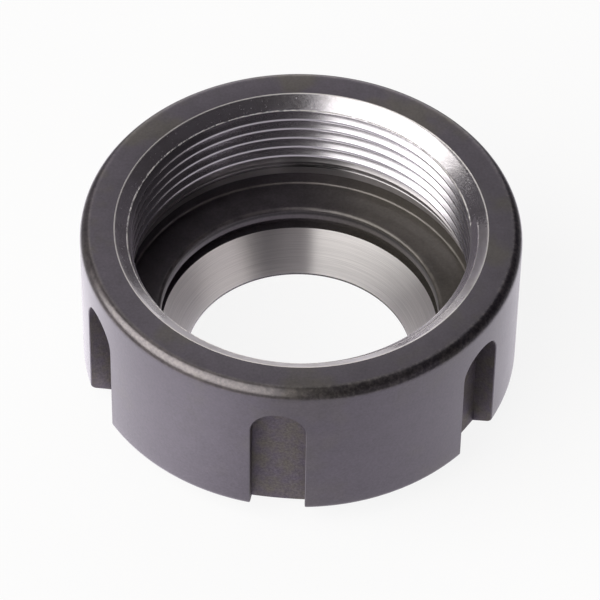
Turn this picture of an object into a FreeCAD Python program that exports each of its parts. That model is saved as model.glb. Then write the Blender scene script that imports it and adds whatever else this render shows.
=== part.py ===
import FreeCAD, Part
import math
import os

import Sketcher

# Clamping nut for a size 32 spring collet, standing on its nose with the threaded mouth upwards.
# It is turned from one bar, so it is one body: a blank, a bore cut from the back, a seat for the
# collet in the nose, and spanner slots milled in the rim. Lengths are in millimetres.
# The origin is the centre of the nose face and +Z runs out of the mouth.

# Driving sizes: name, value, what it is.
SIZES = [
    ("thread_diameter", 40.0, "nominal diameter of the nut thread"),
    ("thread_pitch", 1.5, "pitch of the nut thread"),
    ("ring_wall", 5.0, "from the nominal thread to the outer wall, on one side"),
    ("overall_length", 22.5, "nose face to back face"),
    ("back_edge_chamfer", 0.7, "45 degree chamfer round the back face"),
    ("back_edge_radius", 1.0, "round between that chamfer and the outer wall"),
    ("face_edge_radius", 0.6, "round between that chamfer and the back face"),
    ("nose_chamfer_width", 5.0, "from the outer wall to the flat of the nose, on one side"),
    ("nose_chamfer_angle", 30.0, "nose chamfer against the nose face, in degrees"),
    ("nose_edge_radius", 1.0, "round between the outer wall and the nose chamfer"),
    ("mouth_margin", 1.1, "mouth of the lead-in beyond the nominal thread, on one side"),
    ("mouth_depth", 1.15, "depth of the lead-in chamfer"),
    ("relief_margin", 0.4, "thread relief beyond the nominal thread, on one side"),
    ("relief_width", 1.7, "straight part of the thread relief"),
    ("relief_angle", 18.5, "run-out slope against the axis, in degrees"),
    ("relief_corner_radius", 0.25, "round at the foot of the thread relief"),
    ("seat_step", 4.0, "from the nominal thread in to the wide end of the seat, on one side"),
    ("seat_angle", 30.0, "side of the seat against the axis, in degrees"),
    ("seat_length", 4.85, "height of the conical seat"),
    ("nose_land", 0.25, "straight land between the seat and the nose face"),
    ("rim_groove_height", 1.6, "height of the groove for the collet's rim"),
    ("rim_groove_depth", 0.95, "depth of that groove under the lip"),
    ("lip_thickness", 1.5, "thickness of the lip that pulls the collet out"),
    ("lip_margin", 0.05, "lip bore beyond the wide end of the seat, on one side"),
    ("lip_edge_radius", 0.5, "round on the upper edge of the lip"),
    ("slot_width", 6.2, "width of a spanner slot"),
    ("slot_depth", 2.7, "depth of a slot at its middle"),
    ("slot_end_margin", 3.95, "from the back face to the closed end of a slot"),
    ("slot_count", 6, "spanner slots, evenly spaced"),
]

# Crest height lost by an internal metric thread on its diameter, in pitches.
MINOR_DIAMETER_FACTOR = 1.0825318

# How far a cutting profile runs past the face that it opens.
OVERRUN = 1.0

doc = FreeCAD.newDocument("collet_nut")


def make_sheet():
    """Put the driving sizes in a sheet, one row each."""
    sheet = doc.addObject("Spreadsheet::Sheet", "sizes")
    for row, (name, value, note) in enumerate(SIZES, start=1):
        sheet.set("A%d" % row, name)
        sheet.set("B%d" % row, str(value))
        sheet.set("C%d" % row, note)
        sheet.setAlias("B%d" % row, name)
    doc.recompute()
    return sheet


sheet = make_sheet()


def cell(name):
    """Name of a size as an expression writes it."""
    return "sizes.%s" % name


# Expressions that more than one feature uses.
OUTER_RADIUS = "(%s / 2 + %s)" % (cell("thread_diameter"), cell("ring_wall"))
NOSE_CHAMFER_HEIGHT = "(%s * tan(%s * 1deg))" % (cell("nose_chamfer_width"), cell("nose_chamfer_angle"))
THREAD_RADIUS = "(%s / 2 - %s * %s / 2)" % (
    cell("thread_diameter"), MINOR_DIAMETER_FACTOR, cell("thread_pitch"))
RELIEF_RADIUS = "(%s / 2 + %s)" % (cell("thread_diameter"), cell("relief_margin"))
MOUTH_RADIUS = "(%s / 2 + %s)" % (cell("thread_diameter"), cell("mouth_margin"))
SEAT_RADIUS = "(%s / 2 - %s)" % (cell("thread_diameter"), cell("seat_step"))
HOLE_RADIUS = "(%s - %s * tan(%s * 1deg))" % (SEAT_RADIUS, cell("seat_length"), cell("seat_angle"))
LIP_RADIUS = "(%s + %s)" % (SEAT_RADIUS, cell("lip_margin"))
GROOVE_RADIUS = "(%s + %s)" % (LIP_RADIUS, cell("rim_groove_depth"))
SEAT_TOP = "(%s + %s)" % (cell("nose_land"), cell("seat_length"))
LIP_UNDERSIDE = "(%s + %s)" % (SEAT_TOP, cell("rim_groove_height"))
SHOULDER = "(%s + %s)" % (LIP_UNDERSIDE, cell("lip_thickness"))
RELIEF_TOP = "(%s + %s)" % (SHOULDER, cell("relief_width"))
RUN_OUT_TOP = "(%s + (%s - %s) / tan(%s * 1deg))" % (
    RELIEF_TOP, RELIEF_RADIUS, THREAD_RADIUS, cell("relief_angle"))
MOUTH_FOOT = "(%s - %s)" % (cell("overall_length"), cell("mouth_depth"))
SLOT_FLOOR = "(%s - %s)" % (OUTER_RADIUS, cell("slot_depth"))
SLOT_ARCH_CENTRE = "(%s - %s - %s / 2)" % (
    cell("overall_length"), cell("slot_end_margin"), cell("slot_width"))


def work_out(expression):
    """Value of an expression on the sheet, for the first drawing of a sketch."""
    return FreeCAD.Units.Quantity(sheet.evalExpression(expression)).Value


def origin_plane(body, role):
    """The body's own origin plane or axis with this role."""
    for feature in body.Origin.OriginFeatures:
        if feature.Role == role:
            return feature
    raise ValueError("the body has no %s" % role)


def bind_length(sketch, kind, points, expression):
    """Give a sketch a distance whose value follows an expression on the sheet."""
    number = sketch.addConstraint(Sketcher.Constraint(kind, *points, work_out(expression)))
    sketch.setExpression("Constraints[%d]" % number, expression)


def round_corner(before, corner, after, radius):
    """Start, middle and end of the arc that rounds a corner between its two neighbours."""
    back = (before - corner).normalize()
    ahead = (after - corner).normalize()
    inward = (back + ahead).normalize()
    half_angle = back.getAngle(ahead) / 2
    start = corner + back * (radius / math.tan(half_angle))
    end = corner + ahead * (radius / math.tan(half_angle))
    middle = corner + inward * (radius / math.sin(half_angle) - radius)
    return start, middle, end


def hold_point(sketch, item, radius, height):
    """Hold the start of a line, or a point, at its distance from the axis and its height."""
    for kind, axis, expression in (("DistanceX", -2, radius), ("DistanceY", -1, height)):
        if work_out(expression) == 0:
            # A distance can't be zero, so a point on an axis of the sketch is pinned to it.
            sketch.addConstraint(Sketcher.Constraint("PointOnObject", item, 1, axis))
        else:
            bind_length(sketch, kind, (-1, 1, item, 1), expression)


def half_section(body, name, corners):
    """Closed outline in the XZ plane, for turning about Z.

    Each corner is its distance from the axis and its height, as expressions, so the outline
    follows the sheet. The corners run counterclockwise. A convex one may also name the size
    that rounds it, and is then held as the point where its two lines would meet.
    """
    sketch = body.newObject("Sketcher::SketchObject", name)
    sketch.AttachmentSupport = [(origin_plane(body, "XZ_Plane"), "")]
    sketch.MapMode = "FlatFace"
    count = len(corners)
    points = [FreeCAD.Vector(work_out(corner[0]), work_out(corner[1]), 0) for corner in corners]
    line_ends = list(points)
    line_starts = list(points)
    arcs = {}
    for here, corner in enumerate(corners):
        if len(corner) == 3:
            arcs[here] = round_corner(
                points[here - 1], points[here], points[(here + 1) % count], work_out(cell(corner[2])))
            line_ends[here], _, line_starts[here] = arcs[here]
    for here in range(count):
        sketch.addGeometry(Part.LineSegment(line_starts[here], line_ends[(here + 1) % count]))
    for here, corner in enumerate(corners):
        line_in = (here - 1) % count
        line_out = here
        if here in arcs:
            arc = sketch.addGeometry(Part.Arc(*arcs[here]))
            held = sketch.addGeometry(Part.Point(points[here]), True)
            sketch.addConstraint(Sketcher.Constraint("Tangent", line_in, 2, arc, 1))
            sketch.addConstraint(Sketcher.Constraint("Tangent", arc, 2, line_out, 1))
            sketch.addConstraint(Sketcher.Constraint("PointOnObject", held, 1, line_in))
            sketch.addConstraint(Sketcher.Constraint("PointOnObject", held, 1, line_out))
            bind_length(sketch, "Radius", (arc,), cell(corner[2]))
        else:
            held = line_out
            sketch.addConstraint(Sketcher.Constraint("Coincident", line_in, 2, line_out, 1))
        hold_point(sketch, held, corner[0], corner[1])
    return sketch


def turn(body, kind, name, sketch):
    """Turn a half section about the axis: a Revolution adds it and a Groove cuts it."""
    feature = body.newObject("PartDesign::%s" % kind, name)
    feature.Profile = sketch
    feature.ReferenceAxis = (sketch, ["V_Axis"])
    feature.Angle = 360.0
    doc.recompute()
    return feature


def ring_edge(feature, radius, height):
    """Name of the circular edge of a feature with this radius at this height."""
    for number, edge in enumerate(feature.Shape.Edges, start=1):
        if not isinstance(edge.Curve, Part.Circle):
            continue
        same_radius = abs(edge.Curve.Radius - work_out(radius)) < 1e-4
        same_height = abs(edge.Curve.Center.z - work_out(height)) < 1e-4
        if same_radius and same_height:
            return "Edge%d" % number
    raise ValueError("%s has no ring of radius %s at %s" % (feature.Name, radius, height))


def fillet_ring(body, name, base, radius, height, size_name):
    """Fillet one ring of the turned body by a size from the sheet."""
    feature = body.newObject("PartDesign::Fillet", name)
    feature.Base = (base, [ring_edge(base, radius, height)])
    feature.setExpression("Radius", cell(size_name))
    doc.recompute()
    return feature


def make_blank(body):
    """Bar end turned to the outside form, with the nose chamfer and the softened back edge."""
    nose_flat = "(%s - %s)" % (OUTER_RADIUS, cell("nose_chamfer_width"))
    back_edge_foot = "(%s - %s)" % (cell("overall_length"), cell("back_edge_chamfer"))
    back_face_rim = "(%s - %s)" % (OUTER_RADIUS, cell("back_edge_chamfer"))
    sketch = half_section(body, "outer_section", [
        ("0", "0"),
        (nose_flat, "0"),
        (OUTER_RADIUS, NOSE_CHAMFER_HEIGHT, "nose_edge_radius"),
        (OUTER_RADIUS, back_edge_foot, "back_edge_radius"),
        (back_face_rim, cell("overall_length"), "face_edge_radius"),
        ("0", cell("overall_length")),
    ])
    return turn(body, "Revolution", "blank", sketch)


def cut_thread_bore(body):
    """Bore for the thread, at its crests, with the lead-in chamfer, run-out slope and relief."""
    sketch = half_section(body, "bore_section", [
        ("0", SHOULDER),
        (RELIEF_RADIUS, SHOULDER),
        (RELIEF_RADIUS, RELIEF_TOP),
        (THREAD_RADIUS, RUN_OUT_TOP),
        (THREAD_RADIUS, MOUTH_FOOT),
        (MOUTH_RADIUS, cell("overall_length")),
        ("0", cell("overall_length")),
    ])
    bore = turn(body, "Groove", "thread_bore", sketch)
    return fillet_ring(body, "relief_corner", bore, RELIEF_RADIUS, SHOULDER, "relief_corner_radius")


def cut_collet_seat(body):
    """Opening under the bore: the lip, the groove for the collet's rim, the cone and the nose hole."""
    sketch = half_section(body, "seat_section", [
        ("0", "0"),
        (HOLE_RADIUS, "0"),
        (HOLE_RADIUS, cell("nose_land")),
        (SEAT_RADIUS, SEAT_TOP),
        (GROOVE_RADIUS, SEAT_TOP),
        (GROOVE_RADIUS, LIP_UNDERSIDE),
        (LIP_RADIUS, LIP_UNDERSIDE),
        (LIP_RADIUS, SHOULDER),
        ("0", SHOULDER),
    ])
    seat = turn(body, "Groove", "collet_seat", sketch)
    return fillet_ring(body, "lip_edge", seat, LIP_RADIUS, SHOULDER, "lip_edge_radius")


def cut_spanner_slots(body):
    """Slots milled into the rim from the nose, flat-floored, each with a full round closed end."""
    sketch = body.newObject("Sketcher::SketchObject", "slot_outline")
    sketch.AttachmentSupport = [(origin_plane(body, "XZ_Plane"), "")]
    sketch.MapMode = "FlatFace"
    # The XZ plane's normal is -Y, so a positive offset moves the drawing to the slot's floor.
    sketch.setExpression(".AttachmentOffset.Base.z", SLOT_FLOOR)

    half_width = "(%s / 2)" % cell("slot_width")
    half = work_out(half_width)
    arch = work_out(SLOT_ARCH_CENTRE)
    foot_left = FreeCAD.Vector(-half, -OVERRUN, 0)
    foot_right = FreeCAD.Vector(half, -OVERRUN, 0)
    spring_left = FreeCAD.Vector(-half, arch, 0)
    spring_right = FreeCAD.Vector(half, arch, 0)
    crown = FreeCAD.Vector(0, arch + half, 0)
    sketch.addGeometry(Part.LineSegment(foot_left, foot_right))
    sketch.addGeometry(Part.LineSegment(foot_right, spring_right))
    sketch.addGeometry(Part.Arc(spring_right, crown, spring_left))
    sketch.addGeometry(Part.LineSegment(spring_left, foot_left))
    foot, right, end, left = range(4)
    for first, second in ((foot, right), (left, foot)):
        sketch.addConstraint(Sketcher.Constraint("Coincident", first, 2, second, 1))
    sketch.addConstraint(Sketcher.Constraint("Tangent", right, 2, end, 1))
    sketch.addConstraint(Sketcher.Constraint("Tangent", end, 2, left, 1))
    sketch.addConstraint(Sketcher.Constraint("Horizontal", foot))
    sketch.addConstraint(Sketcher.Constraint("Vertical", right))
    sketch.addConstraint(Sketcher.Constraint("PointOnObject", end, 3, -2))
    sketch.addConstraint(Sketcher.Constraint("DistanceY", foot, 1, -1, 1, OVERRUN))
    bind_length(sketch, "Radius", (end,), half_width)
    bind_length(sketch, "DistanceY", (-1, 1, end, 3), SLOT_ARCH_CENTRE)

    pocket = body.newObject("PartDesign::Pocket", "spanner_slot")
    pocket.Profile = sketch
    pocket.Reversed = True
    pocket.setExpression("Length", "%s + %s" % (cell("slot_depth"), OVERRUN))
    doc.recompute()

    slots = body.newObject("PartDesign::PolarPattern", "spanner_slots")
    slots.Originals = [pocket]
    slots.Axis = (origin_plane(body, "Z_Axis"), [""])
    slots.Angle = 360.0
    slots.setExpression("Occurrences", cell("slot_count"))
    body.Tip = slots
    doc.recompute()
    return pocket, slots


def make_nut():
    """The whole nut, as one body."""
    body = doc.addObject("PartDesign::Body", "nut_body")
    body.Label = "nut_body"
    steps = [make_blank(body), cut_thread_bore(body), cut_collet_seat(body)]
    steps.extend(cut_spanner_slots(body))
    # A cut that points away from the metal takes nothing away and shows no error.
    for before, after in zip(steps, steps[1:]):
        if after.Shape.Volume >= before.Shape.Volume:
            raise ValueError("%s took nothing away" % after.Name)
    return body


def check_document(bodies):
    """Stop before anything is written if a feature failed or a body isn't one sound solid."""
    for item in doc.Objects:
        if "Invalid" in item.State or "Error" in item.State:
            raise ValueError("%s failed: %s" % (item.Name, item.State))
    for body in bodies:
        shape = body.Shape
        if shape.isNull() or not shape.isValid() or len(shape.Solids) != 1:
            raise ValueError("%s isn't one valid solid" % body.Label)


bodies = [make_nut()]
doc.recompute()
check_document(bodies)

os.makedirs("parts", exist_ok=True)
for body in bodies:
    body.Shape.exportStep(os.path.join("parts", body.Label + ".step"))
    box = body.Shape.optimalBoundingBox(False)
    print("%s: %.3f x %.3f x %.3f mm, %.0f mm3, %d faces" % (
        body.Label, box.XLength, box.YLength, box.ZLength, body.Shape.Volume, len(body.Shape.Faces)))
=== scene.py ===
"""Collet nut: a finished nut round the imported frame, on a pale floor in soft studio light."""

import math

import bmesh
import bpy
import numpy as np
from bpy.props import FloatProperty, FloatVectorProperty, IntProperty, PointerProperty
from mathutils import Matrix, Vector


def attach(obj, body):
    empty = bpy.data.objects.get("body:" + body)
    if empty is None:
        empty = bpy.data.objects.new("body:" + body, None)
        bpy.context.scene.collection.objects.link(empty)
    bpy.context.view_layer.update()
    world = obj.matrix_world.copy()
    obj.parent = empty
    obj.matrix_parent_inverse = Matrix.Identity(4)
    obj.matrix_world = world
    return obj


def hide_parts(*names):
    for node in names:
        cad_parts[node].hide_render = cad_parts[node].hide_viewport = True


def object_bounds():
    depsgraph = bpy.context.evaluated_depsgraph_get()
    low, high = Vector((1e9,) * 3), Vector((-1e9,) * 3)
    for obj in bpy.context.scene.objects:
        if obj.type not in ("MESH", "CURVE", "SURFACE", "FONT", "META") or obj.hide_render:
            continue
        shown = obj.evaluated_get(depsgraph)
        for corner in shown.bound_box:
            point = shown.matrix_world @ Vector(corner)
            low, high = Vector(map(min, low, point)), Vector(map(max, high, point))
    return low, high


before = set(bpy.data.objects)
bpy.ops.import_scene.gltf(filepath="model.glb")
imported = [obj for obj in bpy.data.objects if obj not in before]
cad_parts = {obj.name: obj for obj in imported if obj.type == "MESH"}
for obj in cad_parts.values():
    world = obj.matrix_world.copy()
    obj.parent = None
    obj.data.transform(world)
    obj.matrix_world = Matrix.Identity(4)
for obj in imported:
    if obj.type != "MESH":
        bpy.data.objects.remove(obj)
# The frame's own box, read before anything is added.
CAD_LOW, CAD_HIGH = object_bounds()

bl_info = {
    "name": "Collet nut",
    "version": (1, 0, 0),
    "blender": (4, 5, 0),
    "location": "View3D > Sidebar > Collet nut",
    "description": "Builds a slotted clamping nut for a spring collet, with its thread and finishes",
    "category": "Object",
}

MM = 0.001
BODY = "root"
NODE = "nut_body"

# Of an ISO thread: the flanks' rise against the axis, and the depth in pitches.
FLANK = math.tan(math.radians(60.0))
THREAD_DEPTH = FLANK * 5.0 / 16.0

# Order of the nut's materials.
BLACKENED, MILLED, TURNED, FACED, GROUND = range(5)

# Steps of the mesh round the nut and along a rounded corner.
COLUMNS = 360
ARC_STEPS = 6

# Round a slot: steps down the wall, the nose edge and the nose chamfer beside it, steps from its
# share's border to its outline with the power that crowds them there, and steps down its walls.
SIDE_STEPS = (10, 7, 5)
SHARE_STEPS = 10
SHARE_POWER = 0.8
SLOT_WALL_STEPS = 3

# Points nearer than the first are joined, and edges that turn by more than the second stay sharp.
WELD = 2e-6
CREASE = math.radians(28.0)

# A length too short to divide by, and how far the thread may reach past a face of the lead-in.
TINY = 1e-12
GRAZE = 3e-6

# Inputs of a Mix node that mixes colours, and its output.
MIX_SHARE, MIX_FIRST, MIX_SECOND, MIX_RESULT = 0, 6, 7, 2

# How far the stretched highlight of turned steel is turned, in whole turns.
HIGHLIGHT_TURN = 0.25

WHITE = (1.0, 1.0, 1.0)


def length(name, millimetres, description):
    """A size in the sidebar, written in millimetres and kept in metres."""
    return FloatProperty(name=name, description=description, default=millimetres * MM,
                         min=0.0, unit="LENGTH", precision=5)


def angle(name, degrees, description):
    """An angle in the sidebar, written in degrees."""
    return FloatProperty(name=name, description=description, default=math.radians(degrees),
                         subtype="ANGLE")


def colour(name, red, green, blue, description):
    """A linear colour in the sidebar."""
    return FloatVectorProperty(name=name, description=description, default=(red, green, blue),
                               subtype="COLOR", min=0.0, max=1.0)


class NutSizes(bpy.types.PropertyGroup):
    """Sizes of the nut."""

    outer_radius: length("Outer radius", CAD_HIGH[0] / MM, "Wall of the nut")
    height: length("Height", CAD_HIGH[2] / MM, "Nose face to back face")
    edge_chamfer: length("Edge chamfer", 0.75, "Chamfer round the back face")
    edge_softness: length("Edge softness", 1.4, "Round between the edge chamfer and the wall")
    face_softness: length("Face softness", 1.0, "Round between the edge chamfer and the back face")
    nose_width: length("Nose chamfer width", 5.0, "From the wall in to the flat of the nose")
    nose_angle: angle("Nose chamfer angle", 30.0, "Against the nose face")
    nose_radius: length("Nose edge radius", 1.0, "Round between the wall and the nose chamfer")
    thread_radius: length("Thread radius", 20.0, "Roots of the internal thread")
    thread_pitch: length("Thread pitch", 1.5, "Rise of the thread in one turn")
    crest_width: length("Crest width", 0.27, "Flat on the thread's crests")
    thread_phase: length("Thread phase", 20.07, "Height of a crest at the back of the nut")
    phase_angle: angle("Phase angle", 95.0, "Where round the nut that height is read")
    mouth_margin: length("Mouth margin", 1.1, "Mouth of the lead-in beyond the thread's roots")
    mouth_depth: length("Mouth depth", 1.15, "Depth of the lead-in chamfer")
    mouth_break: length("Mouth edge break", 0.06, "Bright edge between lead-in and back face")
    relief_margin: length("Relief margin", 0.4, "Thread relief beyond the thread's roots")
    relief_width: length("Relief width", 1.7, "Straight part of the thread relief")
    relief_angle: angle("Run-out angle", 18.5, "Run-out slope against the axis")
    relief_round: length("Relief round", 0.25, "Round at the foot of the thread relief")
    seat_step: length("Seat step", 4.0, "From the thread's roots in to the wide end of the seat")
    seat_angle: angle("Seat angle", 30.0, "Side of the seat against the axis")
    seat_length: length("Seat length", 4.85, "Height of the conical seat")
    nose_land: length("Nose land", 0.25, "Straight land between the seat and the nose face")
    groove_height: length("Groove height", 1.6, "Groove for the collet's rim")
    groove_depth: length("Groove depth", 0.95, "Depth of that groove under the lip")
    lip_thickness: length("Lip thickness", 1.5, "Lip that pulls the collet out")
    lip_margin: length("Lip margin", 0.05, "Lip bore beyond the wide end of the seat")
    lip_round: length("Lip round", 0.5, "Round on the upper edge of the lip")
    slot_width: length("Slot width", 6.2, "Width of a spanner slot")
    slot_depth: length("Slot depth", 2.7, "Depth of a slot at its middle")
    slot_end: length("Slot end", 3.95, "From the back face to the closed end of a slot")
    slot_edge: length("Slot edge break", 0.1, "Broken edge round a slot")
    slot_count: IntProperty(name="Slots", description="Spanner slots round the rim", default=6, min=1)


class NutColours(bpy.types.PropertyGroup):
    """Colours of the nut's finishes."""

    oxide: colour("Oxide", 0.086, 0.0745, 0.094, "Black oxide, where it is violet")
    warm_oxide: colour("Warm oxide", 0.092, 0.083, 0.074, "Black oxide, where it is olive")
    # Also the colour of the painted highlight in the shoulder's corner at the foot of the relief wall.
    worn_oxide_and_highlight: colour("Worn oxide", 0.20, 0.18, 0.165, "Black oxide worn thin on an edge")
    bare_steel: colour("Bare steel", 0.53, 0.51, 0.54, "Turned steel of the thread")
    burred_steel: colour("Burred steel", 0.65, 0.63, 0.61, "Burrs and broken edges")
    stained_steel: colour("Stained steel", 0.36, 0.34, 0.33, "Stains on the lead-in and the run-out")
    ground_steel: colour("Ground steel", 0.62, 0.60, 0.59, "Ground steel of the seat")


class StageSizes(bpy.types.PropertyGroup):
    """Camera and floor."""

    azimuth: angle("Azimuth", 5.0, "How far the camera stands to the right of the front slot")
    elevation: angle("Elevation", 47.96, "Height of the camera above the horizon")
    roll: angle("Roll", 1.05, "Tilt of the camera about its own axis")
    distance: length("Distance", 507.38, "Camera to the point that it looks at")
    aim_height: length("Aim height", 10.097, "Height on the axis that the camera looks at")
    lens: FloatProperty(name="Lens", description="Focal length on a 36 mm sensor", default=265.1,
                        min=1.0, subtype="DISTANCE_CAMERA")
    floor_half: length("Floor", 20000.0, "Half the width of the floor")
    floor_colour: colour("Floor colour", 0.85, 0.85, 0.85, "Colour of the floor")
    mirrored_floor: colour("Mirrored floor", 0.97, 0.93, 1.0, "Tint of the lit floor in the nut's sides")
    room_light: colour("Room light", 1.0, 0.9, 1.0, "Tint of the dim room")
    tent_light: colour("Tent light", 1.0, 0.985, 0.96, "Tint of the light tent")


def rounded(corners):
    """Section through corners given as (radius, height, round), as an array of points.

    A corner with a round is replaced by an arc that touches both of its lines: the arc starts
    and ends at round / tan(half the corner's angle) from the corner.
    """
    points = []
    for index, (radius, height, bend) in enumerate(corners):
        corner = np.array((radius, height))
        if bend == 0.0:
            points.append(corner)
            continue
        back = np.array(corners[index - 1][:2]) - corner
        ahead = np.array(corners[index + 1][:2]) - corner
        back /= np.linalg.norm(back)
        ahead /= np.linalg.norm(ahead)
        half = math.acos(np.dot(back, ahead)) / 2.0
        middle = corner + (back + ahead) / np.linalg.norm(back + ahead) * bend / math.sin(half)
        start = corner + back * bend / math.tan(half) - middle
        side = np.array((-start[1], start[0]))
        if np.dot(side, ahead - back) < 0.0:
            side = -side
        turn = np.linspace(0.0, math.pi - 2.0 * half, ARC_STEPS + 1)[:, None]
        points.extend(middle + start * np.cos(turn) + side * np.sin(turn))
    return np.array(points)


def polar(radius, turn, height):
    """Points at a radius, an angle about Z and a height, whatever shape these three have."""
    radius, turn, height = np.broadcast_arrays(radius, turn, height)
    return np.stack((radius * np.cos(turn), radius * np.sin(turn), height), axis=-1)


class Skin:
    """Grids of points that are joined edge to edge into one closed mesh.

    A grid is an array of rows by columns by 3. It faces the side from which its rows run down
    while its columns run to the right.
    """

    def __init__(self):
        self.points = []
        self.faces = []
        self.finishes = []
        self.total = 0

    def add(self, grid, finish, closed=True):
        """Add a grid with one finish, or one for each face. A closed one meets itself at its sides."""
        rows, columns = grid.shape[:2]
        number = np.arange(rows * columns).reshape(rows, columns) + self.total
        if closed:
            number = np.concatenate((number, number[:, :1]), axis=1)
        faces = np.stack((number[:-1, :-1], number[1:, :-1], number[1:, 1:], number[:-1, 1:]), axis=-1)
        self.points.append(grid.reshape(-1, 3))
        self.faces.append(faces.reshape(-1, 4))
        self.finishes.append(np.broadcast_to(finish, faces.shape[:2]).ravel())
        self.total += rows * columns

    def turned(self, section, finish):
        """Add a section turned about Z: every point of it goes round at its own radius."""
        turn = np.linspace(0.0, 2.0 * math.pi, COLUMNS, endpoint=False)
        self.add(polar(section[:, :1], turn[None, :], section[:, 1:]), finish)

    def build(self, name):
        """Mesh object of all the grids, with their shared borders joined and creases sharp."""
        mesh = bpy.data.meshes.new(name)
        mesh.from_pydata(np.concatenate(self.points), [], np.concatenate(self.faces))
        mesh.polygons.foreach_set("material_index", np.concatenate(self.finishes).astype(np.int32))
        shell = bmesh.new()
        shell.from_mesh(mesh)
        bmesh.ops.remove_doubles(shell, verts=shell.verts, dist=WELD)
        if any(len(edge.link_faces) != 2 for edge in shell.edges):
            raise RuntimeError("%s isn't closed" % name)
        if shell.calc_volume(signed=True) <= 0.0:
            raise RuntimeError("%s is inside out" % name)
        shell.to_mesh(mesh)
        shell.free()
        mesh.polygons.foreach_set("use_smooth", np.ones(len(mesh.polygons), bool))
        mesh.set_sharp_from_angle(angle=CREASE)
        piece = bpy.data.objects.new(name, mesh)
        bpy.context.scene.collection.objects.link(piece)
        return piece


class Outside:
    """Radius and height of the outside against the way down it from the wall's top.

    The way runs straight down the wall, round the nose edge and in along the nose chamfer.
    """

    def __init__(self, nut, top):
        self.top = top
        self.wall = nut.outer_radius
        self.bend = nut.nose_radius
        self.slope = nut.nose_angle
        self.turn = math.pi / 2.0 - self.slope
        self.flat = self.wall - nut.nose_width
        corner = nut.nose_width * math.tan(self.slope)
        reach = self.bend * math.tan(self.turn / 2.0)
        self.bend_height = corner + reach
        self.round_from = top - self.bend_height
        self.round_to = self.round_from + self.bend * self.turn
        self.chamfer_radius = self.wall - reach * math.cos(self.slope)
        self.foot = self.round_to + (self.chamfer_radius - self.flat) / math.cos(self.slope)

    def radius(self, way):
        """Wall, then wall less the arc's share, then falling with the chamfer's cosine."""
        bent = np.clip((way - self.round_from) / self.bend, 0.0, self.turn)
        along = np.maximum(way - self.round_to, 0.0)
        return self.wall - self.bend * (1.0 - np.cos(bent)) - along * math.cos(self.slope)

    def height(self, way):
        """Falling with the wall, then with the arc's sine, then with the chamfer's sine."""
        down = np.minimum(way, self.round_from)
        bent = np.clip((way - self.round_from) / self.bend, 0.0, self.turn)
        along = np.maximum(way - self.round_to, 0.0)
        return self.top - down - self.bend * np.sin(bent) - along * math.sin(self.slope)

    def way_at_radius(self, radius):
        """Way down to where the nose chamfer has this radius."""
        return self.round_to + (self.chamfer_radius - radius) / math.cos(self.slope)


def side_ways(outside, start, end):
    """Ways down one side of a slot's loop: wall, nose edge and chamfer get their own steps."""
    wall, edge, chamfer = SIDE_STEPS
    return np.concatenate((
        np.linspace(start, outside.round_from, wall, endpoint=False),
        np.linspace(outside.round_from, outside.round_to, edge, endpoint=False),
        np.linspace(outside.round_to, end, chamfer, endpoint=False)))


def loop_of(top, right, bottom, left):
    """A loop clockwise from its top left corner, of four runs that each leave out their last point."""
    return np.concatenate((top, right, bottom, left))


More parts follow.
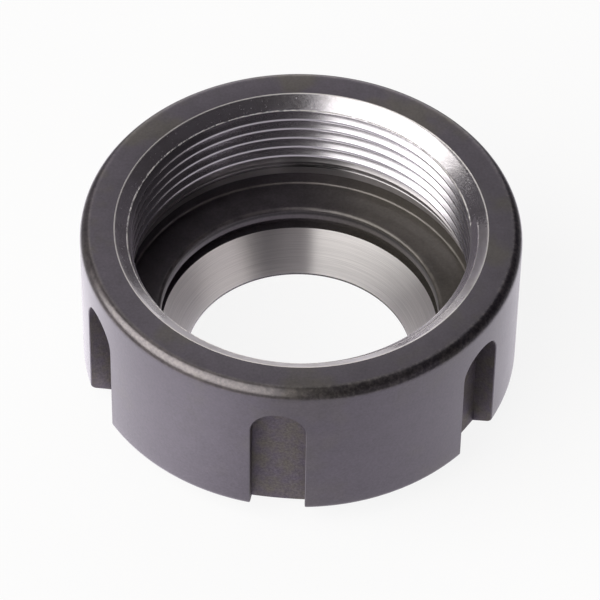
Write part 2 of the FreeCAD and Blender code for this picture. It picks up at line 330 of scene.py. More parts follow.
def slot_sector(skin, nut, outside, middle):
    """One share of the outside with a spanner slot in its middle.

    The loops run clockwise: along the top, down the right side, back along the bottom and up the
    left side. The outer loop is the share's border. The inner one is the slot's outline, where
    the plane x = half the width, the cylinder of the round end or the plane of the floor meets
    the outside. Between them the points lie on straight lines in angle and way, so each is on
    the outside itself. Within the nose edge both loops have the same ways.
    """
    columns = COLUMNS // nut.slot_count
    share = 2.0 * math.pi / nut.slot_count
    half = nut.slot_width / 2.0
    floor = nut.outer_radius - nut.slot_depth
    end_centre = nut.height - nut.slot_end - half
    along = np.linspace(0.0, 1.0, columns, endpoint=False)

    def border():
        across = (along - 0.5) * share
        sides = side_ways(outside, 0.0, outside.foot)
        edge = np.full(len(sides), share / 2.0)
        angles = loop_of(across, edge, -across, -edge)
        ways = loop_of(np.zeros(columns), sides, np.full(columns, outside.foot),
                       np.append(sides, outside.foot)[:0:-1])
        return angles, ways

    def ring(widen, sink):
        """Angles and ways of the slot's outline, wider by widen, and how deep it is sunk.

        Both fade out along the nose chamfer, where the slot runs out of depth.
        """
        bow = math.pi * (1.0 - along)
        reach = half + widen
        end_angle = np.arcsin(reach * np.cos(bow) / nut.outer_radius)
        end_way = outside.top - (end_centre + reach * np.sin(bow))
        bottom_x = half * (1.0 - 2.0 * along)
        bottom_way = outside.way_at_radius(np.hypot(bottom_x, floor))
        last_way = outside.way_at_radius(math.hypot(half, floor))
        sides = side_ways(outside, outside.top - end_centre, last_way)
        fade = np.clip((last_way - sides) / (last_way - outside.round_to), 0.0, 1.0)
        left_sides = np.append(sides, last_way)[:0:-1]
        left_fade = np.append(fade, 0.0)[:0:-1]
        right_angle = np.arcsin((half + widen * fade) / outside.radius(sides))
        left_angle = -np.arcsin((half + widen * left_fade) / outside.radius(left_sides))
        angles = loop_of(end_angle, right_angle, np.arctan2(bottom_x, floor), left_angle)
        ways = loop_of(end_way, sides, bottom_way, left_sides)
        depth = sink * loop_of(np.ones(columns), fade, np.zeros(columns), left_fade)
        return angles, ways, depth

    border_angles, border_ways = border()
    edge_angles, edge_ways, _ = ring(nut.slot_edge, 0.0)
    blend = np.linspace(0.0, 1.0, SHARE_STEPS + 1)[:, None] ** SHARE_POWER
    angles = border_angles + (edge_angles - border_angles) * blend
    ways = border_ways + (edge_ways - border_ways) * blend
    front = polar(outside.radius(ways), angles + middle, outside.height(ways))
    skin.add(front, BLACKENED)

    wall_angles, wall_ways, depth = ring(0.0, nut.slot_edge)
    radius = outside.radius(wall_ways)
    sideways = radius * np.sin(wall_angles)
    outward = radius * np.cos(wall_angles)
    height = outside.height(wall_ways)
    brim = np.maximum(outward - depth, floor)
    turn = np.array(((math.cos(middle), math.sin(middle)), (-math.sin(middle), math.cos(middle))))

    def placed(out, side, high):
        """Points at a distance along the slot's middle direction, sideways from it and a height."""
        flat = np.stack((out, side), axis=-1) @ turn
        return np.concatenate((flat, high[..., None]), axis=-1)

    skin.add(np.stack((front[-1], placed(brim, sideways, height))), BLACKENED)
    skin.add(np.stack([placed(brim + (floor - brim) * down, sideways, height)
                       for down in np.linspace(0.0, 1.0, SLOT_WALL_STEPS + 1)]), MILLED)

    # The floor is ruled from the round end down to the bottom edge.
    count = sum(SIDE_STEPS)
    end_side = np.append(sideways[:columns], sideways[columns])
    end_high = np.append(height[:columns], height[columns])
    foot = slice(columns + count, 2 * columns + count + 1)
    foot_side = sideways[foot][::-1]
    foot_high = height[foot][::-1]
    fall = height[columns] - np.append(height[columns:columns + count], foot_high[-1])
    fall = (fall / fall[-1])[:, None]
    floor_side = end_side + (foot_side - end_side) * fall
    floor_high = end_high + (foot_high - end_high) * fall
    skin.add(placed(np.full_like(floor_side, floor), floor_side, floor_high), MILLED, closed=False)


def bore_wall(skin, nut):
    """Add the bore from the relief up to the mouth's rim, with the thread cut in it.

    A column's radius at height z is the larger of two: the plain bore with its run-out slope and
    lead-in chamfer, and the thread, which is the crest radius plus tan(60 degrees) times the
    distance past the crest's flat, and round the root an arc that touches both flanks. Crests
    rise by one pitch a turn. The rows are the sorted heights of every edge of both and of where
    they cross, so all edges stay crisp. The last column, a full turn on, has the first one's
    points, each a pitch's rows further along, and the two are welded.
    """
    crest_radius = nut.thread_radius - nut.thread_pitch * THREAD_DEPTH
    crest_half = nut.crest_width / 2.0
    half_pitch = nut.thread_pitch / 2.0
    root_round = (half_pitch - crest_half) * FLANK - nut.thread_pitch * THREAD_DEPTH
    root_half = root_round * math.sin(math.radians(60.0))
    relief_radius = nut.thread_radius + nut.relief_margin
    relief_top = shoulder_height(nut) + nut.relief_width
    run_out = relief_top + (relief_radius - crest_radius) / math.tan(nut.relief_angle)
    mouth_radius = nut.thread_radius + nut.mouth_margin
    mouth_foot = nut.height - nut.mouth_depth
    mouth_slope = (mouth_radius - crest_radius) / nut.mouth_depth
    rim = nut.height - nut.mouth_break / mouth_slope
    plain_heights = (relief_top, run_out, mouth_foot, nut.height)
    plain_radii = (relief_radius, crest_radius, crest_radius, mouth_radius)

    turn = np.linspace(0.0, 2.0 * math.pi, COLUMNS + 1)
    shift = nut.thread_phase + nut.thread_pitch * (turn - nut.phase_angle) / (2.0 * math.pi)

    def plain(high):
        return np.interp(high, plain_heights, plain_radii)

    def threaded(high, shift):
        off = np.abs((high - shift + half_pitch) % nut.thread_pitch - half_pitch)
        side = np.minimum(half_pitch - off, root_half)
        arc = nut.thread_radius - root_round + np.sqrt(root_round ** 2 - side ** 2)
        flank = crest_radius + np.maximum(off - crest_half, 0.0) * FLANK
        return np.where(side < root_half, arc, flank)

    turns = int(nut.height / nut.thread_pitch) + 2
    arc_marks = half_pitch + root_round * np.sin(np.radians(np.linspace(-60.0, 60.0, ARC_STEPS + 1)))
    marks = np.concatenate(((-crest_half, crest_half), arc_marks))
    edges = (np.arange(-turns, turns)[:, None] * nut.thread_pitch + marks).ravel()
    edges = shift[None, :] + edges[:, None]
    edges = edges[(edges.max(axis=1) > relief_top) & (edges.min(axis=1) < rim)]
    edges = np.clip(edges, relief_top, rim)
    over = threaded(edges, shift) - plain(edges)
    change = over[:-1] - over[1:]
    share = np.clip(over[:-1] / np.where(np.abs(change) < TINY, TINY, change), 0.0, 1.0)
    crossings = edges[:-1] + (edges[1:] - edges[:-1]) * share
    kinks = np.repeat(np.array((relief_top, run_out, mouth_foot, rim))[:, None], COLUMNS + 1, axis=1)
    high = np.sort(np.concatenate((edges, crossings, kinks)), axis=0)
    middle = (high[1:, :-1] + high[:-1, :-1] + high[1:, 1:] + high[:-1, 1:]) / 4.0
    between = (shift[:-1] + shift[1:]) / 2.0
    clear = plain(middle) >= threaded(middle, between) - GRAZE
    grid = polar(np.maximum(plain(high), threaded(high, shift)), turn[None, :], high)
    skin.add(grid, np.where((middle > mouth_foot) & clear, FACED, TURNED), closed=False)
    return grid[-1]


def shoulder_height(nut):
    """Height of the flat shoulder above the nose face."""
    return nut.nose_land + nut.seat_length + nut.groove_height + nut.lip_thickness


def make_nut(nut, finishes):
    """The whole nut as one closed piece: the shares with the slots, then the section from the nose
    face up through the seat, lip, relief, thread and lead-in, and over the back face's edge.
    """
    # Below this the wall is straight: the round under the edge chamfer ends above it.
    wall_top = nut.height - 2.0 * nut.edge_chamfer
    seat_radius = nut.thread_radius - nut.seat_step
    hole_radius = seat_radius - nut.seat_length * math.tan(nut.seat_angle)
    seat_top = nut.nose_land + nut.seat_length
    lip_radius = seat_radius + nut.lip_margin
    groove_radius = lip_radius + nut.groove_depth
    lip_foot = seat_top + nut.groove_height
    shoulder = shoulder_height(nut)
    relief_radius = nut.thread_radius + nut.relief_margin
    relief_top = shoulder + nut.relief_width
    mouth_radius = nut.thread_radius + nut.mouth_margin

    skin = Skin()
    outside = Outside(nut, wall_top)
    for number in range(nut.slot_count):
        middle = -math.pi / 2.0 + number * 2.0 * math.pi / nut.slot_count
        slot_sector(skin, nut, outside, middle)
    skin.turned(rounded((
        (outside.flat, 0.0, 0.0),
        (hole_radius, 0.0, 0.0),
        (hole_radius, nut.nose_land, 0.0))), BLACKENED)
    skin.turned(rounded((
        (hole_radius, nut.nose_land, 0.0),
        (seat_radius, seat_top, 0.0))), GROUND)
    skin.turned(rounded((
        (seat_radius, seat_top, 0.0),
        (groove_radius, seat_top, 0.0),
        (groove_radius, lip_foot, 0.0),
        (lip_radius, lip_foot, 0.0),
        (lip_radius, shoulder, nut.lip_round),
        (relief_radius, shoulder, nut.relief_round),
        (relief_radius, relief_top, 0.0))), BLACKENED)
    rim = bore_wall(skin, nut)[0]
    face_from = mouth_radius + nut.mouth_break
    skin.turned(rounded((
        (math.hypot(rim[0], rim[1]), rim[2], 0.0),
        (face_from, nut.height, 0.0))), FACED)
    skin.turned(rounded((
        (face_from, nut.height, 0.0),
        (nut.outer_radius - nut.edge_chamfer, nut.height, nut.face_softness),
        (nut.outer_radius, nut.height - nut.edge_chamfer, nut.edge_softness),
        (nut.outer_radius, wall_top, 0.0))), BLACKENED)
    piece = skin.build("collet_nut")
    for finish in finishes:
        piece.data.materials.append(finish)
    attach(piece, BODY)
    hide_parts(NODE)
    return piece


class Wire:
    """An output of a node tree. Python's arithmetic on it adds Math nodes."""

    def __init__(self, shade, socket):
        self.shade = shade
        self.socket = socket

    def __getitem__(self, name):
        """Another output of the same node."""
        return Wire(self.shade, self.socket.node.outputs[name])

    def math(self, operation, *values):
        return self.shade.node("ShaderNodeMath", {"operation": operation}, values)

    def __add__(self, other):
        return self.math("ADD", self, other)

    def __radd__(self, other):
        return self.math("ADD", other, self)

    def __sub__(self, other):
        return self.math("SUBTRACT", self, other)

    def __rsub__(self, other):
        return self.math("SUBTRACT", other, self)

    def __mul__(self, other):
        return self.math("MULTIPLY", self, other)

    def __rmul__(self, other):
        return self.math("MULTIPLY", other, self)

    def __truediv__(self, other):
        return self.math("DIVIDE", self, other)

    def __pow__(self, power):
        return self.math("POWER", self, power)

    def size(self):
        """The value without its sign."""
        return self.math("ABSOLUTE", self)

    def __mod__(self, step):
        """What is left over above the last whole step, never below 0."""
        return self.math("FLOORED_MODULO", self, step)

    def larger(self, other):
        return self.math("MAXIMUM", self, other)

    def smaller(self, other):
        return self.math("MINIMUM", self, other)

    def ramp(self, low, high):
        """0 up to low, 1 from high on, and smooth between. Where high is the lower, it falls."""
        ends = (low, high, 0.0, 1.0) if high > low else (high, low, 1.0, 0.0)
        return self.shade.node("ShaderNodeMapRange", {"interpolation_type": "SMOOTHSTEP"}, (self, *ends))

    def band(self, middle, half, soft):
        """1 within half of a middle value, and 0 from half plus soft on."""
        return (self - middle).size().ramp(half + soft, half)


class Shade:
    """The node tree of a material or of the world."""

    def __init__(self, owner):
        owner.use_nodes = True
        self.tree = owner.node_tree
        self.tree.nodes.clear()

    def node(self, kind, settings=None, values=(), output=0):
        """Add a node: its settings first, then values or wires for its inputs, in order or by name."""
        node = self.tree.nodes.new(kind)
        for name, value in (settings or {}).items():
            setattr(node, name, value)
        pairs = values.items() if isinstance(values, dict) else enumerate(values)
        for key, value in pairs:
            if isinstance(value, Wire):
                self.tree.links.new(value.socket, node.inputs[key])
            else:
                node.inputs[key].default_value = value
        return Wire(self, node.outputs[output]) if node.outputs else node

    def mixed(self, share, first, second):
        """A colour between two, by share."""
        return self.node("ShaderNodeMix", {"data_type": "RGBA"}, {
            MIX_SHARE: share, MIX_FIRST: rgba(first), MIX_SECOND: rgba(second)}, MIX_RESULT)

    def scaled(self, vector, factor):
        """A colour or a vector times a number."""
        return self.node("ShaderNodeVectorMath", {"operation": "SCALE"}, {0: vector, "Scale": factor})

    def place(self):
        """The point on the piece, in millimetres, as one vector."""
        return self.scaled(self.node("ShaderNodeTexCoord", output="Object"), 1.0 / MM)

    def vector(self, x, y, z):
        return self.node("ShaderNodeCombineXYZ", {}, (x, y, z))

    def noise(self, where, scale, detail=2.0, roughness=0.5):
        """Noise round one half, with features of about 1 / scale."""
        return self.node("ShaderNodeTexNoise", {}, {
            "Vector": where, "Scale": scale, "Detail": detail, "Roughness": roughness})

    def bump(self, height):
        """A surface raised by a height in millimetres."""
        return self.node("ShaderNodeBump", {}, {"Height": height, "Strength": 1.0, "Distance": MM})

    def finish(self, settings):
        """A Principled surface with these inputs, as the material's output."""
        surface = self.node("ShaderNodeBsdfPrincipled", {}, settings)
        self.node("ShaderNodeOutputMaterial", {}, {"Surface": surface})


def rgba(value):
    """A colour with its alpha, or the wire as it is."""
    return value if isinstance(value, Wire) else (*value, 1.0)


class Landmarks:
    """Where the finishes change on the nut, in millimetres."""

    def __init__(self, nut):
        self.edge_sum = (nut.outer_radius + nut.height - nut.edge_chamfer) / MM
        self.relief_edge = (nut.thread_radius + nut.relief_margin) / MM
        self.top = nut.height / MM
        self.shoulder = shoulder_height(nut) / MM
        self.lip_edge = (nut.thread_radius - nut.seat_step + nut.lip_margin) / MM
        self.mouth_edge = (nut.thread_radius + nut.mouth_margin) / MM
        self.mouth_foot = (nut.height - nut.mouth_depth) / MM
        self.mouth_slope = (nut.mouth_margin + THREAD_DEPTH * nut.thread_pitch) / nut.mouth_depth
        self.root = nut.thread_radius / MM
        self.pitch = nut.thread_pitch / MM
        self.crest = self.root - THREAD_DEPTH * self.pitch
        self.crest_half = nut.crest_width / 2.0 / MM
        self.phase = nut.thread_phase / MM - self.pitch * nut.phase_angle / (2.0 * math.pi)
        self.relief_top = self.shoulder + nut.relief_width / MM
        self.lip_foot = self.shoulder - nut.lip_thickness / MM
        self.run_out = self.relief_top + (self.relief_edge - self.crest) / math.tan(nut.relief_angle)


class Turning:
    """Places and marks on the turned nut, in millimetres, for the finishes of what is turned."""

    def __init__(self, shade):
        self.place = shade.place()
        spot = shade.node("ShaderNodeSeparateXYZ", {}, (self.place,))
        x, y, self.height = spot["X"], spot["Y"], spot["Z"]
        self.radius = (x * x + y * y) ** 0.5
        self.shade = shade
        self.cosine = x / self.radius
        self.sine = y / self.radius
        self.turn = self.radius.math("ARCTAN2", y, x)

    def side(self, degrees, half, soft):
        """1 near a direction about the axis, and 0 away from it. The front slot is at -90 degrees.

        Both half and soft are read as 1 less the cosine of an angle from that direction, so
        0.002 stands for 4 degrees, 0.05 for 18 and 0.25 for 41.
        """
        ahead = math.radians(degrees)
        near = self.cosine * math.cos(ahead) + self.sine * math.sin(ahead)
        return (1.0 - near).ramp(half + soft, half)

    def rings(self, pace, along, detail=3.0):
        """Noise drawn out round the axis: fine along the section and slow along the turn."""
        across = (self.radius + self.height) * pace
        where = self.shade.vector(self.cosine * along, self.sine * along, across)
        return self.shade.noise(where, 1.0, detail, 0.6)

    def lead_in_foot(self, nut):
        """Radius of the lead-in's lower edge, which the thread's next flank above its foot sets.

        From a crest at the foot it grows with the height of the next crest above the foot, up to
        the root: the flank and the lead-in, both rising outwards, meet there. It falls back where
        the next crest's flat reaches the foot, because the groove above that flat is turned away.
        """
        crest_height = self.turn * (nut.pitch / (2.0 * math.pi)) + nut.phase
        crest_above = (crest_height - nut.mouth_foot + nut.crest_half) % nut.pitch - nut.crest_half
        growth = nut.mouth_slope * FLANK / (FLANK + nut.mouth_slope)
        grown = ((crest_above - nut.crest_half) * growth).larger(0.0)
        # The root is round, so the edge stops at this share of the thread's depth.
        root_share = 0.93
        return nut.crest + grown.smaller((nut.root - nut.crest) * root_share)

    def corner(self, radius, height, reach):
        """1 at a ring of the section, falling to 0 at its reach."""
        off = self.radius - radius
        up = self.height - height
        return ((off * off + up * up) ** 0.5).ramp(reach, reach * 0.4)


def blackened_steel(colours, nut):
    """Satin black oxide over turned steel: violet and olive clouds, fine grain, edges worn lighter, with
    painted light and shade inside, on the outer edge and on the back face.
    """
    material = bpy.data.materials.new("blackened_steel")
    shade = Shade(material)
    turning = Turning(shade)
    place = turning.place
    clouds = shade.noise(place, 0.13, 3.0, 0.55)
    broad = shade.noise(place, 0.05, 2.0, 0.4)
    patches = shade.noise(place, 0.5, 4.0, 0.6)
    grain = shade.noise(place, 3.2, 3.0, 0.6)
    speckle = shade.noise(place, 2.2, 2.0, 0.6)
    lay = turning.rings(5.0, 3.0)
    inside = turning.radius.ramp(nut.relief_edge + 0.3, nut.relief_edge)

    # Where the oxide is worn: spots on the outer edge and the lip's edge. The lighter spots on the
    # shoulder's outer corner, at the foot of the relief wall, are a painted highlight.
    edge = (turning.radius + turning.height).ramp(nut.edge_sum - 0.6, nut.edge_sum - 0.2)
    rubbed = edge * (speckle + patches * 0.5).ramp(0.66, 0.95)
    step = turning.corner(nut.relief_edge, nut.shoulder, 0.3) * patches.ramp(0.2, 0.6)
    lip = turning.corner(nut.lip_edge + 0.2, nut.shoulder, 0.3) * patches.ramp(0.35, 0.65)
    wear_and_painted_highlight = (rubbed * 0.25).larger(step * 0.6).larger(lip * 0.35)

    # Painted light and shade inside, on the outer edge and round the back face: painted fill light on
    # the relief wall and in the groove under the lip, a painted highlight band low on the lip's wall
    # with painted shade just above it, a painted highlight on the outer edge with painted shade at its
    # front right, and on the back face painted light that turns to painted shade at the front right.
    fill_light_bands = turning.height.band((nut.shoulder + nut.relief_top) / 2.0, 0.6, 0.3)
    fill_light_bands = fill_light_bands.larger(turning.height.band(nut.lip_foot - 0.8, 0.7, 0.2))
    lip_wall_highlight = turning.height.band(nut.lip_foot + 0.3, 0.15, 0.3)
    lip_brow_shade = turning.height.band(nut.lip_foot + 0.9, 0.08, 0.12)
    plate = turning.height.ramp(nut.top - 1.4, nut.top - 0.6)
    edge_grain_and_painted_light = 0.28 + (speckle - 0.5) * 0.8 - turning.side(-30.0, 0.25, 0.3) * 0.45
    plate_painted_light = 0.1 - turning.side(-25.0, 0.25, 0.7) * 0.25
    inside_painted_light = fill_light_bands * 0.5 + lip_wall_highlight * 0.8 - lip_brow_shade * 0.4
    tone_and_painted_light = 1.0 + edge * edge_grain_and_painted_light + plate * plate_painted_light + inside * inside_painted_light

    # Where it is olive: in clouds, inside most of all on the right, and on the edge's front left.
    olive = turning.cosine.ramp(-0.3, 0.5) * 0.7 + 0.3
    warmth = clouds.ramp(0.48, 0.64) * (0.3 + plate * 0.5)
    warmth = warmth.larger(inside * olive).larger(edge * turning.side(-120.0, 0.3, 0.5) * 0.55)

    tint = shade.mixed(warmth, colours.oxide, colours.warm_oxide)
    tint = shade.scaled(tint, (0.23 + broad * 0.32 + patches * 0.6 + grain * 0.6) * tone_and_painted_light)
    tint = shade.mixed(wear_and_painted_highlight, tint, colours.worn_oxide_and_highlight)
    shade.finish({
        "Base Color": tint,
        "Metallic": 0.84,
        "Roughness": 0.5 + (patches - 0.5) * 0.16 - edge * 0.15,
        "Coat Weight": 0.6,
        "Coat Roughness": 0.2,
        "Normal": shade.bump(grain * 0.016 + lay * 0.003 + speckle * edge * 0.02),
    })
    return material


def milled_steel(colours):
    """Black oxide on the slots' milled faces: coarser, duller and more olive."""
    material = bpy.data.materials.new("milled_steel")
    shade = Shade(material)
    place = shade.place()
    grain = shade.noise(place, 3.6, 3.0, 0.7)
    patches = shade.noise(place, 0.45, 3.0, 0.6)
    tint = shade.mixed(patches.ramp(0.3, 0.7), colours.oxide, colours.warm_oxide)
    shade.finish({
        "Base Color": shade.scaled(tint, 0.5 + grain * 1.9),
        "Metallic": 0.8,
        "Roughness": 0.62,
        "Normal": shade.bump(grain * 0.05),
    })
    return material


def turned_steel(colours, nut):
    """Bare steel of the thread, with tool marks along the turns.

    The run-out slope is stained and dulls towards its foot, with a torn ridge at the back and a painted
    dark line below it. The crests carry painted highlights, the first turns a painted highlight on the
    right, and the back left painted shade.
    """
    material = bpy.data.materials.new("turned_steel")
    shade = Shade(material)
    turning = Turning(shade)
    marks = turning.rings(9.0, 5.0)
    grit = shade.noise(turning.place, 4.0, 3.0, 0.7)
    torn = shade.noise(turning.place, 1.6, 3.0, 0.7)

    # Bands of the run-out slope, counted down from its upper end.
    slope = turning.height.ramp(nut.run_out + 0.05, nut.run_out - 0.1)
    dull = turning.height.ramp(nut.run_out - 2.0, nut.run_out - 2.15)
    ridge = turning.height.band(nut.run_out - 1.4, 0.08, 0.1) * torn.ramp(0.46, 0.56)
    ridge = ridge * turning.side(84.0, 0.02, 0.05)
    # A dark line painted across the slope as a groove's shade.
    groove = turning.height.band(nut.run_out - 1.9, 0.08, 0.15)
    stain = slope * turning.side(90.0, 0.002, 0.03)

    # Painted light and shade: painted highlights on the crests, painted shade on the back left, and a
    # painted highlight on the right-hand side of the first turns.
    crest = turning.radius.ramp(nut.crest + 0.12, nut.crest + 0.04) * (1.0 - slope)
    shadow = turning.side(153.0, 0.04, 0.08)
    flank = turning.height.ramp(nut.mouth_foot - 2.6, nut.mouth_foot - 1.6)
    flank = flank * turning.side(-2.0, 0.03, 0.06)
    tone_and_painted_light = 0.92 + marks * 0.16 - groove * 0.35 + dull * 0.25 - stain * 0.6
    tone_and_painted_light = tone_and_painted_light + crest * 0.4 + flank * 0.7 - shadow * 0.35

    tint = shade.mixed(slope * 0.5, colours.bare_steel, colours.stained_steel)
    tint = shade.mixed(ridge, tint, colours.burred_steel)
    shade.finish({
        "Base Color": shade.scaled(tint, tone_and_painted_light),
        "Metallic": 1.0 - dull * 0.2 - ridge * 0.5,
        "Roughness": 0.18 + grit * 0.08 + slope * 0.12,
        "Anisotropic": 0.4,
        "Anisotropic Rotation": HIGHLIGHT_TURN,
        "Normal": shade.bump(marks * 0.002 + grit * 0.002 + ridge * 0.03),
    })
    return material


def faced_steel(colours, nut):
    """Bare steel of the lead-in: faintly stained, with a torn burr at its foot, a bright rim, and
    painted light and shade round its sides.
    """
    material = bpy.data.materials.new("faced_steel")
    shade = Shade(material)
    turning = Turning(shade)
    place = turning.place
    marks = turning.rings(8.0, 6.0)
    stains = shade.noise(place, 0.3, 4.0, 0.6)
    waves = shade.noise(place, 0.5, 2.0, 0.5)
    grit = shade.noise(place, 3.5, 3.0, 0.7)
    torn = shade.noise(place, 2.1, 3.0, 0.8)

    # Sides of the ring, which carry painted light and shade, its bright edges, and chatter of the tool
    # on the right.
    front = turning.side(-93.0, 0.17, 0.08)
    left = turning.side(-130.0, 0.05, 0.1)
    right = turning.side(-8.0, 0.02, 0.05)
    rim = turning.radius.ramp(nut.mouth_edge - 0.11, nut.mouth_edge - 0.04)
    foot = (turning.radius - turning.lead_in_foot(nut)).band(0.0, 0.07, 0.09)
    burr = foot * (0.2 + torn.ramp(0.45, 0.56) * 0.95) * (1.0 - right * 0.75)
    edges = burr.larger(rim * (0.45 + torn * 0.5))
    chatter = turning.side(15.0, 0.06, 0.06) * shade.noise(place, 4.5, 2.0, 0.6)
    # Painted light and shade: lighter at the front and on the right, darker on the left; the bright
    # edges are painted darker on the right and lighter on the left.
    tone_and_painted_light = 1.2 + front * 0.2 + right * (0.2 - edges * 0.5) + left * (edges * 0.3 - 0.25)
    bumps = waves * 0.015 + marks * 0.0015 + grit * 0.0015 + burr * 0.05 + chatter * 0.008

    tint = shade.mixed(stains.ramp(0.4, 0.65) * 0.4, colours.bare_steel, colours.stained_steel)
    tint = shade.mixed(edges, tint, colours.burred_steel)
    shade.finish({
        "Base Color": shade.scaled(tint, tone_and_painted_light),
        "Metallic": 1.0,
        "Roughness": 0.11 + grit * 0.24 + edges * 0.4 + front * 0.3 + right * 0.1,
        "Anisotropic": 0.3,
        "Anisotropic Rotation": HIGHLIGHT_TURN,
        "Normal": shade.bump(bumps),
    })
    return material


def ground_steel(colours):
    """Ground steel of the seat, with fine lines round it."""
    material = bpy.data.materials.new("ground_steel")
    shade = Shade(material)
    turning = Turning(shade)
    lines = turning.rings(7.0, 1.2, 4.0)
    fine = turning.rings(20.0, 3.0)
    shade.finish({
        "Base Color": shade.scaled(colours.ground_steel, 0.66 + lines * 0.6 + fine * 0.5),
        "Metallic": 1.0,
        "Roughness": 0.28 + lines * 0.08,
        "Anisotropic": 0.97,
        "Anisotropic Rotation": HIGHLIGHT_TURN,
        "Normal": shade.bump(lines * 0.002 + fine * 0.001),
    })
    return material


def make_floor(stage):
    """A wide pale floor under the nut.

    The camera sees it nearly white, with the nut's shadow in its matt share. To the steel's mirrors it
    glows: dim far off, with a painted pool of light near the nut, brightest on the left, and painted
    shade behind and under the hole.
    """
    half = stage.floor_half
    corners = [(x * half, y * half, 0.0) for x, y in ((-1, -1), (1, -1), (1, 1), (-1, 1))]
    mesh = bpy.data.meshes.new("floor")
    mesh.from_pydata(corners, [], [(0, 1, 2, 3)])
    floor = bpy.data.objects.new("floor", mesh)
    bpy.context.scene.collection.objects.link(floor)
    material = bpy.data.materials.new("floor")
    shade = Shade(material)
    paths = shade.node("ShaderNodeLightPath")
    seen = paths["Is Camera Ray"].larger(paths["Is Transmission Ray"])
    mirrored = paths["Is Glossy Ray"]
    spot = shade.node("ShaderNodeSeparateXYZ", {}, (shade.place(),))
    x, y = spot["X"], spot["Y"]
    far = (x * x + y * y) ** 0.5
    # Painted light for the steel's mirrors: a glowing pool near the nut, brightest on the left, with
    # painted shade behind and under the hole.
    near = far.ramp(90.0, 38.0) * (1.0 - far.ramp(14.0, 11.0) * 0.7)
    sides = x.ramp(4.0, -22.0) * (1.1 - y.ramp(2.0, 16.0) * 0.5) + x.ramp(8.0, 38.0) * 0.3
    tint = shade.mixed(mirrored, WHITE, stage.mirrored_floor)
    light = shade.scaled(tint, seen + mirrored * (0.15 + near * (0.95 + sides)))
    matt = shade.node("ShaderNodeBsdfDiffuse", {}, {"Color": rgba(stage.floor_colour)})
    glow = shade.node("ShaderNodeEmission", {}, {"Color": light, "Strength": 1.0})
    glow_share = seen.larger(mirrored) * 0.88
    surface = shade.node("ShaderNodeMixShader", {}, (glow_share, matt, glow))
    shade.node("ShaderNodeOutputMaterial", {}, {"Surface": surface})
    mesh.materials.append(material)


def make_world(stage):
    """Soft studio light, square to the camera's azimuth, and plain white to the camera itself.

    It is made of patches of the sky with soft edges: a tall tent on the left, brighter the further
    left, a pale backdrop behind the nut, brighter low down, and a weak fill low at the front
    right. The rest is a dim room, a little lighter at the back.
    """
    world = bpy.data.worlds.new("studio")
    bpy.context.scene.world = world
    shade = Shade(world)
    sky = shade.node("ShaderNodeTexCoord", output="Generated")
    turned = shade.node("ShaderNodeVectorRotate", {"rotation_type": "Z_AXIS"}, {
        "Vector": sky, "Angle": -stage.azimuth})
    parts = shade.node("ShaderNodeSeparateXYZ", {}, (turned,))
    x, y, z = parts["X"], parts["Y"], parts["Z"]
    back_edge = (y + (z - 0.7).larger(0.0) * 0.9).ramp(0.28, 0.16)
    tent = x.ramp(-0.09, -0.18) * back_edge * z.ramp(0.03, 0.17) * (2.7 + x.ramp(-0.3, -0.9) * 1.2)
    fill = x.ramp(0.1, 0.6) * y.ramp(-0.1, -0.5) * z.ramp(0.35, 0.15) * 0.3
    backdrop = x.size().ramp(0.43, 0.3) * y.ramp(0.1, 0.3) * (0.68 + z.ramp(0.5, 0.3) * 0.6)
    room = 0.05 + y.ramp(0.2, 0.7) * 0.04 + fill
    seen = shade.node("ShaderNodeLightPath")["Is Camera Ray"]
    dim = shade.scaled(stage.room_light, room)
    lit = shade.scaled(stage.tent_light, tent + backdrop)
    light = shade.node("ShaderNodeVectorMath", {"operation": "ADD"}, (dim, lit))
    light = shade.mixed(seen, light, WHITE)
    back = shade.node("ShaderNodeBackground", {}, {"Color": light, "Strength": 1.0})
    shade.node("ShaderNodeOutputWorld", {}, {"Surface": back})


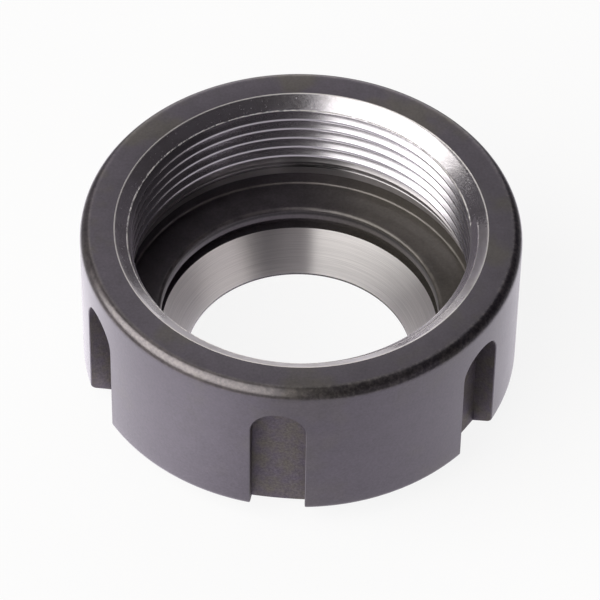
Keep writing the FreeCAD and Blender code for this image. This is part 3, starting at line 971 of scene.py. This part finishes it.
def make_camera(stage):
    """Camera on a line from the aim point, at the stage's azimuth, elevation, roll and distance."""
    lens = bpy.data.cameras.new("camera")
    lens.sensor_width = 36.0
    lens.lens = stage.lens
    lens.clip_start = 0.01
    camera = bpy.data.objects.new("camera", lens)
    bpy.context.scene.collection.objects.link(camera)
    to_side = math.sin(stage.azimuth)
    to_front = math.cos(stage.azimuth)
    level = math.cos(stage.elevation)
    rise = math.sin(stage.elevation)
    ahead = Vector((-to_side * level, to_front * level, -rise))
    right = Vector((to_front, to_side, 0.0))
    up = right.cross(ahead)
    rolled_right = right * math.cos(stage.roll) + up * math.sin(stage.roll)
    rolled_up = up * math.cos(stage.roll) - right * math.sin(stage.roll)
    turn = Matrix((rolled_right, rolled_up, -ahead)).transposed().to_4x4()
    spot = Vector((0.0, 0.0, stage.aim_height)) - ahead * stage.distance
    camera.matrix_world = Matrix.Translation(spot) @ turn
    bpy.context.scene.camera = camera


class NUT_OT_make_body(bpy.types.Operator):
    """Build the nut with its thread, slots and finishes"""

    bl_idname = "nut.make_body"
    bl_label = "Make nut"

    def execute(self, context):
        nut = context.scene.nut_sizes
        colours = context.scene.nut_colours
        marks = Landmarks(nut)
        make_nut(nut, (
            blackened_steel(colours, marks),
            milled_steel(colours),
            turned_steel(colours, marks),
            faced_steel(colours, marks),
            ground_steel(colours)))
        return {"FINISHED"}


class NUT_OT_make_stage(bpy.types.Operator):
    """Build the floor, the studio light and the camera"""

    bl_idname = "nut.make_stage"
    bl_label = "Make stage"

    def execute(self, context):
        stage = context.scene.nut_stage
        make_floor(stage)
        make_world(stage)
        make_camera(stage)
        context.scene.view_settings.view_transform = "Standard"
        return {"FINISHED"}


class NUT_PT_sidebar(bpy.types.Panel):
    """Collet nut"""

    bl_idname = "NUT_PT_sidebar"
    bl_label = "Collet nut"
    bl_space_type = "VIEW_3D"
    bl_region_type = "UI"
    bl_category = "Collet nut"

    def draw(self, context):
        for group in (context.scene.nut_sizes, context.scene.nut_colours, context.scene.nut_stage):
            column = self.layout.column(align=True)
            for name in group.__annotations__:
                column.prop(group, name)
        self.layout.operator(NUT_OT_make_body.bl_idname)
        self.layout.operator(NUT_OT_make_stage.bl_idname)


GROUPS = {"nut_sizes": NutSizes, "nut_colours": NutColours, "nut_stage": StageSizes}
TOOLS = (NUT_OT_make_body, NUT_OT_make_stage, NUT_PT_sidebar)


def register():
    for name, group in GROUPS.items():
        bpy.utils.register_class(group)
        setattr(bpy.types.Scene, name, PointerProperty(type=group))
    for tool in TOOLS:
        bpy.utils.register_class(tool)


def unregister():
    for tool in reversed(TOOLS):
        bpy.utils.unregister_class(tool)
    for name, group in GROUPS.items():
        delattr(bpy.types.Scene, name)
        bpy.utils.unregister_class(group)


def main():
    """Build everything."""
    register()
    bpy.ops.nut.make_body()
    bpy.ops.nut.make_stage()


if __name__ == "__main__":
    main()
